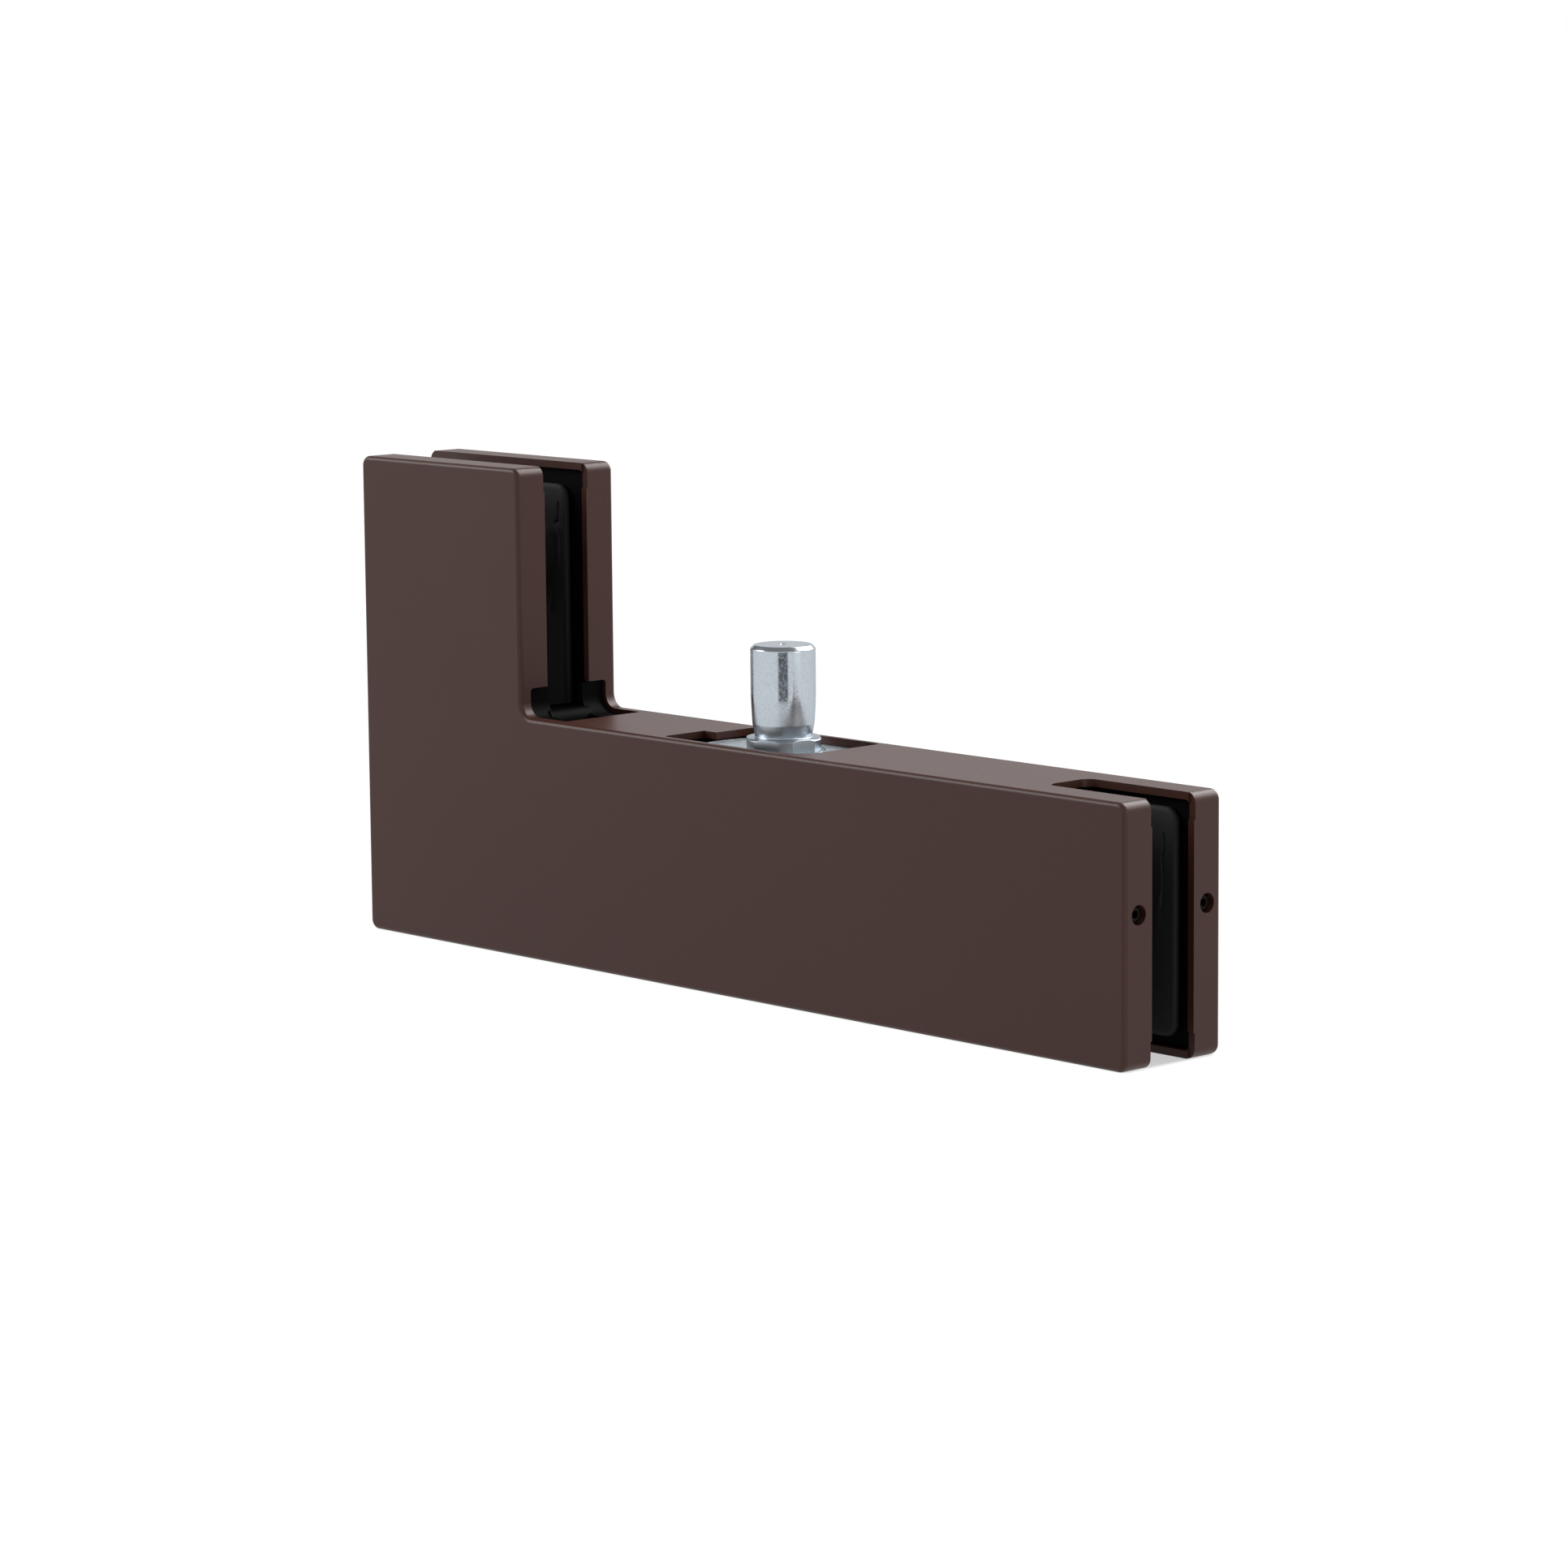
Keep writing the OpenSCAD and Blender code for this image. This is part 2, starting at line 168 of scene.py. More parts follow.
@dataclass(frozen=True)
class PowderCoat:
    """Polyester powder baked on cast aluminium: a satin film with a faint orange peel and soft edges, which carry a
    painted highlight.
    """

    name: str = "powder_coated_aluminium"
    light: str = "#41221A"
    dark: str = "#3B1D15"
    # The edge colour is a painted highlight, mixed in on the rounded edges
    edge: str = "#4A2F28"
    edge_facing: tuple[float, float] = (0.98, 0.8)
    cloud_mm: float = 45.0
    peel_mm: float = 0.9
    peel_depth_mm: float = 0.004
    roughness: tuple[float, float] = (0.36, 0.43)
    specular: float = 0.29

    def make(self) -> Material:
        """Builds the coat's material.

        Returns:
            The material.
        """
        material, tree, coords = blank_material(self.name)
        cloud = add_node(tree, "ShaderNodeTexNoise", {"Vector": coords, "Scale": per_mm(self.cloud_mm), "Detail": 3.0})
        colour = add_node(tree, "ShaderNodeMix", {
            "Factor": cloud.outputs["Fac"], "A": linear(self.dark), "B": linear(self.light)}, data_type="RGBA")
        # Painted highlight: where the normal leans away from every axis, on the rounded edges, the colour turns
        # lighter and stands in for the edges' highlight
        facing = add_node(tree, "ShaderNodeTexCoord").outputs["Normal"]
        facing = add_node(tree, "ShaderNodeVectorMath", {0: facing}, operation="ABSOLUTE").outputs[0]
        along = add_node(tree, "ShaderNodeSeparateXYZ", {0: facing}).outputs
        most = add_node(tree, "ShaderNodeMath", {0: along["X"], 1: along["Y"]}, operation="MAXIMUM").outputs[0]
        most = add_node(tree, "ShaderNodeMath", {0: most, 1: along["Z"]}, operation="MAXIMUM").outputs[0]
        painted_edge_highlight = add_node(tree, "ShaderNodeMapRange", {
            "Value": most, "From Min": self.edge_facing[0], "From Max": self.edge_facing[1]})
        colour = add_node(tree, "ShaderNodeMix", {
            "Factor": painted_edge_highlight.outputs["Result"], "A": colour.outputs["Result"], "B": linear(self.edge)}, data_type="RGBA")
        peel = add_node(tree, "ShaderNodeTexNoise", {"Vector": coords, "Scale": per_mm(self.peel_mm), "Detail": 2.0})
        gloss = add_node(tree, "ShaderNodeMapRange", {
            "Value": peel.outputs["Fac"], "To Min": self.roughness[0], "To Max": self.roughness[1]})
        bump = add_node(tree, "ShaderNodeBump", {
            "Height": peel.outputs["Fac"], "Strength": 1.0, "Distance": self.peel_depth_mm * MM})
        close_material(tree, add_node(tree, "ShaderNodeBsdfPrincipled", {
            "Base Color": colour.outputs["Result"], "Roughness": gloss.outputs["Result"],
            "Normal": bump.outputs["Normal"], "Specular IOR Level": self.specular, "IOR": 1.5}))
        return material


@dataclass(frozen=True)
class GrainedDark:
    """A dark, finely grained surface: moulded rubber or nylon, or anodised or oxidised metal."""

    name: str
    light: str
    dark: str
    grain_mm: float
    grain_depth_mm: float
    roughness: tuple[float, float]
    specular: float
    metallic: float = 0.0

    def make(self) -> Material:
        """Builds the grained material.

        Returns:
            The material.
        """
        material, tree, coords = blank_material(self.name)
        grain = add_node(tree, "ShaderNodeTexNoise", {"Vector": coords, "Scale": per_mm(self.grain_mm), "Detail": 4.0})
        colour = add_node(tree, "ShaderNodeMix", {
            "Factor": grain.outputs["Fac"], "A": linear(self.dark), "B": linear(self.light)}, data_type="RGBA")
        gloss = add_node(tree, "ShaderNodeMapRange", {
            "Value": grain.outputs["Fac"], "To Min": self.roughness[0], "To Max": self.roughness[1]})
        bump = add_node(tree, "ShaderNodeBump", {
            "Height": grain.outputs["Fac"], "Strength": 1.0, "Distance": self.grain_depth_mm * MM})
        close_material(tree, add_node(tree, "ShaderNodeBsdfPrincipled", {
            "Base Color": colour.outputs["Result"], "Roughness": gloss.outputs["Result"], "Metallic": self.metallic,
            "Normal": bump.outputs["Normal"], "Specular IOR Level": self.specular}))
        return material


@dataclass(frozen=True)
class ZincPlate:
    """Bright zinc on turned steel: cool grey metal, mottled by its crystals and the tool marks below."""

    name: str = "zinc_plated_steel"
    bright: str = "#C6CDD3"
    dull: str = "#A8B1B9"
    edge_tint: str = "#D8DCE0"
    mottle_mm: float = 0.5
    mottle_depth_mm: float = 0.006
    mottle_range: tuple[float, float] = (0.42, 0.6)
    roughness: tuple[float, float] = (0.09, 0.23)
    matt_roughness: float = 0.29
    matt_below_mm: tuple[float, float] = (63.5, 59.5)

    def make(self) -> Material:
        """Builds the plating's material.

        Returns:
            The material.
        """
        material, tree, coords = blank_material(self.name)
        mottle = add_node(tree, "ShaderNodeTexNoise", {
            "Vector": coords, "Scale": per_mm(self.mottle_mm), "Detail": 3.0, "Roughness": 0.6})
        colour = add_node(tree, "ShaderNodeMix", {
            "Factor": mottle.outputs["Fac"], "A": linear(self.dull), "B": linear(self.bright)}, data_type="RGBA")
        gloss = add_node(tree, "ShaderNodeMapRange", {
            "Value": mottle.outputs["Fac"], "From Min": self.mottle_range[0], "From Max": self.mottle_range[1],
            "To Min": self.roughness[1], "To Max": self.roughness[0]})
        # Below the running part of the barrel the plating isn't polished
        height = add_node(tree, "ShaderNodeSeparateXYZ", {0: coords})
        gloss = add_node(tree, "ShaderNodeMapRange", {
            "Value": height.outputs["Z"], "From Min": self.matt_below_mm[0] * MM,
            "From Max": self.matt_below_mm[1] * MM, "To Min": gloss.outputs["Result"], "To Max": self.matt_roughness})
        bump = add_node(tree, "ShaderNodeBump", {
            "Height": mottle.outputs["Fac"], "Strength": 1.0, "Distance": self.mottle_depth_mm * MM})
        close_material(tree, add_node(tree, "ShaderNodeBsdfPrincipled", {
            "Base Color": colour.outputs["Result"], "Roughness": gloss.outputs["Result"], "Metallic": 1.0,
            "Specular Tint": linear(self.edge_tint), "Normal": bump.outputs["Normal"]}))
        return material


@dataclass
class Finishes:
    """Every finish of the fitting, made once and shared."""

    made: dict[Slot, Material]

    @classmethod
    def all(cls) -> "Finishes":
        """Makes the six finishes.

        Returns:
            The finishes by slot.
        """
        # Black anodised aluminium: a dyed oxide film, whose colour is set near dead black so that it also paints in
        # the shade deep in the gap
        alloy = GrainedDark("black_anodised_aluminium", "#070708", "#040405", 0.6, 0.003, (0.5, 0.62), 0.04)
        # Moulded rubber: matt and dusty, with a fine cloth-like grain
        rubber = GrainedDark("moulded_rubber", "#2C2C2E", "#202022", 0.7, 0.02, (0.62, 0.8), 0.3)
        # Moulded nylon: black and satin, with a faint spark-eroded grain
        nylon = GrainedDark("moulded_nylon", "#040405", "#020203", 0.4, 0.006, (0.45, 0.58), 0.03)
        # Black oxide on a steel screw: a thin dark film that still reflects as metal
        steel = GrainedDark("black_oxide_steel", "#130B08", "#0B0604", 0.5, 0.003, (0.45, 0.6), 0.15, 0.3)
        # Baked powder: a satin brown film that mirrors only softly, with a painted highlight that makes it a little
        # lighter along its edges
        coat = PowderCoat()
        # Zinc on turned steel: near a mirror on the barrel and satin below, speckled by its crystals
        zinc = ZincPlate()
        return cls({
            Slot.COAT: coat.make(), Slot.ALLOY: alloy.make(), Slot.RUBBER: rubber.make(),
            Slot.NYLON: nylon.make(), Slot.ZINC: zinc.make(), Slot.STEEL: steel.make()})

    def of(self, slot: Slot) -> Material:
        """The material of a slot."""
        return self.made[slot]


def merged_copy(node: str) -> BMesh:
    """Copies a CAD node's mesh and merges its loose triangles.

    Args:
        node: The CAD node.

    Returns:
        The merged copy, with its flat faces whole.
    """
    bm = bmesh.new()
    bm.from_mesh(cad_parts[node].data)
    bmesh.ops.remove_doubles(bm, verts=bm.verts, dist=MERGE_MM * MM)
    bmesh.ops.dissolve_degenerate(bm, edges=bm.edges, dist=SLIVER_MM * MM)
    bmesh.ops.dissolve_limit(bm, angle_limit=math.radians(FLAT_DEG), verts=bm.verts, edges=bm.edges)
    return bm


def soften(bm: BMesh, width_mm: float, steps: int = 2, least_deg: float = 28.0) -> None:
    """Rounds a mesh's sharp edges.

    Args:
        bm: The mesh.
        width_mm: How far the rounding reaches from an edge.
        steps: Faces across the rounding.
        least_deg: The angle from which an edge counts as sharp.
    """
    least = math.radians(least_deg)
    sharp = [e for e in bm.edges if len(e.link_faces) == 2 and e.calc_face_angle() > least]
    bmesh.ops.bevel(bm, geom=sharp, offset=width_mm * MM, segments=steps, profile=0.5, affect="EDGES",
                    clamp_overlap=True)


def weigh_normals(mesh: Mesh) -> None:
    """Sets each point's normal from its faces, where a large face counts for far more than a small one."""
    sums = [Vector() for _ in mesh.vertices]
    for face in mesh.polygons:
        for i in face.vertices:
            sums[i] += face.normal * face.area ** 2
    mesh.normals_split_custom_set_from_vertices([s.normalized() for s in sums])


def piece_from(bm: BMesh, name: str, material: Material) -> Object:
    """Turns a bmesh into a smooth-shaded object at the origin, with its normals weighed by face size.

    Args:
        bm: The mesh, which is freed.
        name: The piece's name.
        material: The piece's finish.

    Returns:
        The object, linked to the scene.
    """
    mesh = bpy.data.meshes.new(name)
    bm.normal_update()
    bm.to_mesh(mesh)
    bm.free()
    mesh.shade_smooth()
    mesh.materials.clear()
    mesh.materials.append(material)
    weigh_normals(mesh)
    obj = bpy.data.objects.new(name, mesh)
    bpy.context.scene.collection.objects.link(obj)
    return obj


def made_plain(obj: Object) -> None:
    """Puts an object's evaluated shape in its mesh and removes its modifiers."""
    graph = bpy.context.evaluated_depsgraph_get()
    shape = bpy.data.meshes.new_from_object(obj.evaluated_get(graph), preserve_all_data_layers=True, depsgraph=graph)
    obj.modifiers.clear()
    shape.name = obj.name
    obj.data = shape


def hand_over(obj: Object, body: Body, slot: Slot, *nodes: str) -> None:
    """Parents a finished piece to the empty of the CAD body it moves with, hides the CAD nodes it stands for and logs
    it.

    Args:
        obj: The finished piece.
        body: The CAD body it moves with.
        slot: The slot of its finish; not used.
        nodes: The CAD nodes that it replaces.
    """
    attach(obj, body.value)
    if nodes:
        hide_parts(*nodes)
    LOG.info("%s: %d faces on %s, for %s", obj.name, len(obj.data.polygons), body.value, ", ".join(nodes))


@dataclass
class CutPieces:
    """The pieces that keep their CAD shape and only get softened edges."""

    finishes: Finishes
    cover_edge_mm: float = 0.22
    clamp_edge_mm: float = 0.3
    spacer_edge_mm: float = 0.3
    block_edge_mm: float = 0.25

    def build(self) -> None:
        """Builds the covers, the clamps, the spacer and the pivot block."""
        for side in Side:
            self.dress(f"{side.word}_cover", Slot.COAT, self.cover_edge_mm)
            self.dress(f"{side.word}_clamp", Slot.ALLOY, self.clamp_edge_mm)
        self.dress("corner_spacer", Slot.NYLON, self.spacer_edge_mm)
        # Zinc on a cast face, which stays duller than on a turned one
        cast = ZincPlate("zinc_plated_casting", "#D2D9DD", "#B8C1C7", mottle_mm=1.4, mottle_depth_mm=0.02,
                         roughness=(0.34, 0.46), matt_below_mm=(-1.0, -2.0))
        self.dress("pivot_block", Slot.ZINC, self.block_edge_mm, cast.make())

    def dress(self, node: str, slot: Slot, edge_mm: float, finish: Material | None = None) -> None:
        """Replaces one node by its softened, finished copy.

        Args:
            node: The CAD node.
            slot: Its slot.
            edge_mm: The width of its edges' rounding.
            finish: Its own finish, or none for the slot's.
        """
        bm = merged_copy(node)
        soften(bm, edge_mm)
        obj = piece_from(bm, f"{node}_dressed", finish or self.finishes.of(slot))
        hand_over(obj, Body.FITTING, slot, node)


@dataclass(frozen=True)
class Crease:
    """A furrow along a line in a pad's glass face, or a ridge where its depth is negative, in millimetres."""

    points: tuple[tuple[float, float], ...]
    width: float
    depth: float

    def away(self, place: Vector) -> float:
        """How far a place in the scene is from the crease's line, seen along the glass face's normal.

        Args:
            place: The place in metres.

        Returns:
            The distance in millimetres.
        """
        spot = Vector((place.x, place.z)) / MM
        gaps = []
        for first, last in zip(self.points, self.points[1:]):
            start, way = Vector(first), Vector(last) - Vector(first)
            along = min(max((spot - start).dot(way) / way.length_squared, 0.0), 1.0)
            gaps.append((spot - start - way * along).length)
        return min(gaps)

    def at(self, place: Vector) -> float:
        """How deep the crease is at a place, in millimetres."""
        return self.depth * math.exp(-(self.away(place) / self.width) ** 2)


@dataclass
class Pads:
    """The rubber pads that face the glass, pressed in by hand and so a little uneven."""

    finishes: Finishes
    voxel_mm: float = 0.5
    relax_share: float = 0.5
    relax_rounds: int = 3
    wave_mm: float = 0.12
    wave_length_mm: float = 14.0
    refine_reach_mm: tuple[float, float] = (1.2, 0.7)

    def build(self) -> None:
        """Builds the four pads."""
        # A tear near the arm pad's top with a bulge below it, and the folds that run down from there
        arm_creases = (
            Crease(((-73.8, 99.7), (-74.0, 97.6), (-74.2, 95.8), (-75.0, 95.4)), 0.22, 1.2),
            Crease(((-77.0, 93.6), (-74.0, 93.7)), 1.3, -0.35),
            Crease(((-73.3, 93.9), (-73.0, 89.4), (-73.7, 84.9), (-75.6, 81.1), (-77.0, 75.3)), 0.6, -0.25),
            Crease(((-74.6, 91.5), (-74.8, 86.0), (-76.2, 81.5)), 0.8, 0.3))
        # A ragged cut down the beam pad's end, which runs out in a hairline
        beam_creases = (
            Crease(((110.6, 44.8), (110.7, 41.9), (110.2, 40.2), (110.4, 37.0)), 0.18, 1.0),
            Crease(((110.4, 37.0), (110.2, 30.2)), 0.15, 0.4),
            Crease(((109.4, 32.0), (109.0, 24.5)), 0.5, -0.2))
        for side in Side:
            self.pad(side, f"{side.word}_arm_pad", arm_creases)
            self.pad(side, f"{side.word}_beam_pad", beam_creases)

    def pad(self, side: Side, node: str, creases: Sequence[Crease]) -> None:
        """Builds one pad from its CAD solid.

        Args:
            side: The half that it belongs to.
            node: Its CAD node.
            creases: The creases in its glass face.
        """
        obj = piece_from(merged_copy(node), f"{node}_moulded", self.finishes.of(Slot.RUBBER))
        remesh = obj.modifiers.new("remesh", "REMESH")
        remesh.mode = "VOXEL"
        remesh.voxel_size = self.voxel_mm * MM
        relax = obj.modifiers.new("relax", "SMOOTH")
        relax.factor = self.relax_share
        relax.iterations = self.relax_rounds
        made_plain(obj)
        obj.data.materials.clear()
        obj.data.materials.append(self.finishes.of(Slot.RUBBER))
        obj.data.shade_smooth()
        self.refine(obj.data, creases)
        self.make_uneven(obj.data, side, creases)
        hand_over(obj, Body.FITTING, Slot.RUBBER, node)

    def refine(self, mesh: Mesh, creases: Sequence[Crease]) -> None:
        """Gives a pad's mesh more points along its narrow creases.

        Args:
            mesh: The pad's mesh.
            creases: The creases.
        """
        narrow = [c for c in creases if c.width < self.voxel_mm]
        bm = bmesh.new()
        bm.from_mesh(mesh)
        for reach_mm in self.refine_reach_mm:
            near = {v for v in bm.verts if min(c.away(v.co) for c in narrow) < reach_mm}
            edges = [e for e in bm.edges if near.issuperset(e.verts)]
            bmesh.ops.subdivide_edges(bm, edges=edges, cuts=1, use_grid_fill=True)
        bm.to_mesh(mesh)
        bm.free()

    def make_uneven(self, mesh: Mesh, side: Side, creases: Sequence[Crease]) -> None:
        """Moves a pad's glass face in and out by a gentle wave and by its creases.

        Args:
            mesh: The pad's mesh.
            side: The half that it belongs to.
            creases: The creases.
        """
        back = max(abs(v.co.y) for v in mesh.vertices)
        depth = back - min(abs(v.co.y) for v in mesh.vertices)
        for vertex in mesh.vertices:
            share = (back - abs(vertex.co.y)) / depth
            wave = noise.noise(vertex.co * per_mm(self.wave_length_mm)) * self.wave_mm
            furrow = sum(c.at(vertex.co) for c in creases)
            vertex.co.y += side.value * share * (wave + furrow) * MM


class NodeShape:
    """A Geometry Nodes tree that makes one mesh, with named inputs for its sizes."""

    def __init__(self, name: str) -> None:
        """Starts an empty tree.

        Args:
            name: The tree's name.
        """
        self.tree = bpy.data.node_groups.new(name, "GeometryNodeTree")
        self.tree.interface.new_socket("Geometry", in_out="OUTPUT", socket_type="NodeSocketGeometry")
        self.keys: dict[str, str] = {}
        self.source: Node | None = None

    def take(self, **kinds: str) -> Node:
        """Args:
            kinds: Each input's name with its socket type.

        Returns:
            The group's input node.
        """
        for name, kind in kinds.items():
            socket = self.tree.interface.new_socket(name, in_out="INPUT", socket_type=kind)
            self.keys[name] = socket.identifier
        self.source = add_node(self.tree, "NodeGroupInput")
        return self.source

    def give(self, shape: NodeSocket) -> None:
        """Ends the tree: instances become real and the finish is set.

        Args:
            shape: The geometry to give out.
        """
        real = add_node(self.tree, "GeometryNodeRealizeInstances", {"Geometry": shape})
        done = add_node(self.tree, "GeometryNodeSetMaterial", {
            "Geometry": real.outputs["Geometry"], "Material": self.source.outputs["Finish"]})
        add_node(self.tree, "NodeGroupOutput", {"Geometry": done.outputs["Geometry"]})

    def run(self, obj: Object, **values: Any) -> None:
        """Runs the tree on an object and keeps the result as its plain mesh.

        Args:
            obj: The object.
            values: A value for each named input.
        """
        modifier = obj.modifiers.new(self.tree.name, "NODES")
        modifier.node_group = self.tree
        for name, value in values.items():
            modifier[self.keys[name]] = value
        obj.update_tag()
        made_plain(obj)


class ThreadShape(NodeShape):
    """A screw thread's ridge, wound up the Z axis from the origin."""

    def __init__(self) -> None:
        """Builds the tree."""
        super().__init__("thread_ridge")
        given = self.take(Finish="NodeSocketMaterial", Radius="NodeSocketFloat", Height="NodeSocketFloat",
                          Turns="NodeSocketFloat", Ridge="NodeSocketFloat")
        path = add_node(self.tree, "GeometryNodeCurveSpiral", {
            "Resolution": 40, "Rotations": given.outputs["Turns"], "Start Radius": given.outputs["Radius"],
            "End Radius": given.outputs["Radius"], "Height": given.outputs["Height"]})
        ridge = add_node(self.tree, "GeometryNodeCurvePrimitiveCircle", {
            "Resolution": 4, "Radius": given.outputs["Ridge"]})
        wound = add_node(self.tree, "GeometryNodeCurveToMesh", {
            "Curve": path.outputs["Curve"], "Profile Curve": ridge.outputs["Curve"], "Fill Caps": True})
        self.give(wound.outputs["Mesh"])


class RowShape(NodeShape):
    """One fastener set on every point of a mesh."""

    def __init__(self) -> None:
        """Builds the tree."""
        super().__init__("fastener_row")
        given = self.take(Places="NodeSocketGeometry", Finish="NodeSocketMaterial", Fastener="NodeSocketObject")
        one = add_node(self.tree, "GeometryNodeObjectInfo", {"Object": given.outputs["Fastener"]})
        row = add_node(self.tree, "GeometryNodeInstanceOnPoints", {
            "Points": given.outputs["Places"], "Instance": one.outputs["Geometry"]})
        self.give(row.outputs["Instances"])


@dataclass
class Thread:
    """The sizes of one thread."""

    outer_mm: float
    pitch_mm: float
    length_mm: float
    ridge_share: float = 0.42

    @property
    def ridge_mm(self) -> float:
        """How far a ridge reaches from its middle."""
        return self.pitch_mm * self.ridge_share

    def build(self, shape: ThreadShape, name: str, finish: Material) -> Object:
        """Winds the ridge up the Z axis.

        Args:
            shape: The thread's tree.
            name: The object's name.
            finish: The thread's finish.

        Returns:
            The thread, as a plain mesh from the origin up.
        """
        obj = bpy.data.objects.new(name, bpy.data.meshes.new(name))
        bpy.context.scene.collection.objects.link(obj)
        shape.run(obj, Finish=finish, Radius=(self.outer_mm / 2 - self.ridge_mm) * MM, Height=self.length_mm * MM,
                  Turns=self.length_mm / self.pitch_mm, Ridge=self.ridge_mm * MM)
        return obj


def box_centre(node: str) -> Vector:
    """The middle of a CAD node's box."""
    low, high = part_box(node)
    return (low + high) / 2


@dataclass
class Fasteners:
    """The clamp screws, their sleeves and the grub screws, each kind set out by one node tree."""

    finishes: Finishes
    screw_edge_mm: float = 0.15
    sleeve_edge_mm: float = 0.3
    grub_edge_mm: float = 0.12
    screws: tuple[str, ...] = (
        "arm_screw", "corner_screw", "mid_screw", "end_screw", "block_screw_left", "block_screw_right")
    sleeves: tuple[str, ...] = ("arm_sleeve", "corner_sleeve", "mid_sleeve", "end_sleeve")
    grubs: tuple[str, ...] = ("front_grub_screw", "rear_grub_screw")

    def build(self) -> None:
        """Builds the three rows."""
        row = RowShape()
        self.set_out(row, "clamp_screws", Slot.STEEL, self.screw_edge_mm, self.screws)
        self.set_out(row, "screw_sleeves", Slot.NYLON, self.sleeve_edge_mm, self.sleeves)
        self.set_out(row, "grub_screws", Slot.STEEL, self.grub_edge_mm, self.grubs)

    def set_out(self, row: RowShape, name: str, slot: Slot, edge_mm: float, nodes: Sequence[str]) -> None:
        """Sets one kind of fastener on all its places.

        Args:
            row: The tree that does it.
            name: The piece's name.
            slot: Its finish.
            edge_mm: The width of its edges' rounding.
            nodes: The CAD nodes that give the shape and the places.
        """
        first = box_centre(nodes[0])
        bm = merged_copy(nodes[0])
        soften(bm, edge_mm)
        bmesh.ops.translate(bm, verts=bm.verts, vec=-first)
        one = piece_from(bm, f"{name}_one", self.finishes.of(slot))
        places = bpy.data.meshes.new(name)
        places.from_pydata([box_centre(n) for n in nodes], [], [])
        obj = bpy.data.objects.new(name, places)
        bpy.context.scene.collection.objects.link(obj)
        row.run(obj, Finish=self.finishes.of(slot), Fastener=one)
        bpy.data.objects.remove(one)
        hand_over(obj, Body.FITTING, slot, *nodes)


Ring = tuple[Callable[[float], float], Callable[[float], float]]


def fixed(value: float) -> Callable[[float], float]:
    """A size that is the same all round."""
    return lambda _: value


def lathe(rings: Sequence[Ring], steps: int) -> BMesh:
    """Joins rings about the Z axis into one closed mesh.

    Args:
        rings: Each ring's radius and height by angle, in millimetres, from the lower end to the upper.
        steps: Points round a ring.

    Returns:
        The mesh, closed by one flat face at each end.
    """
    bm = bmesh.new()
    angles = [2 * math.pi * i / steps for i in range(steps)]
    loops = []
    for radius, height in rings:
        loops.append([bm.verts.new(Vector((
            radius(a) * math.cos(a), radius(a) * math.sin(a), height(a))) * MM) for a in angles])
    for lower, upper in zip(loops, loops[1:]):
        for i in range(steps):
            k = (i + 1) % steps
            bm.faces.new((lower[i], lower[k], upper[k], upper[i]))
    bm.faces.new(list(reversed(loops[0])))
    bm.faces.new(loops[-1])
    return bm


def eased(points: Sequence[tuple[float, float, float]], steps: int = 5) -> list[tuple[float, float]]:
    """Rounds the corners of a turned profile.

    Args:
        points: Radius, height and corner rounding of each point, in millimetres.
        steps: Stretches in each rounding.

    Returns:
        The finer profile.
    """
    fine: list[tuple[float, float]] = []
    for i, (r, z, ease) in enumerate(points):
        if ease == 0 or i in (0, len(points) - 1):
            fine.append((r, z))
            continue
        here = Vector((r, z))
        before = (Vector(points[i - 1][:2]) - here).normalized()
        after = (Vector(points[i + 1][:2]) - here).normalized()
        for k in range(steps + 1):
            t = k / steps
            spot = here + before * ease * (1 - t) ** 2 + after * ease * t ** 2
            fine.append((spot.x, spot.y))
    return fine


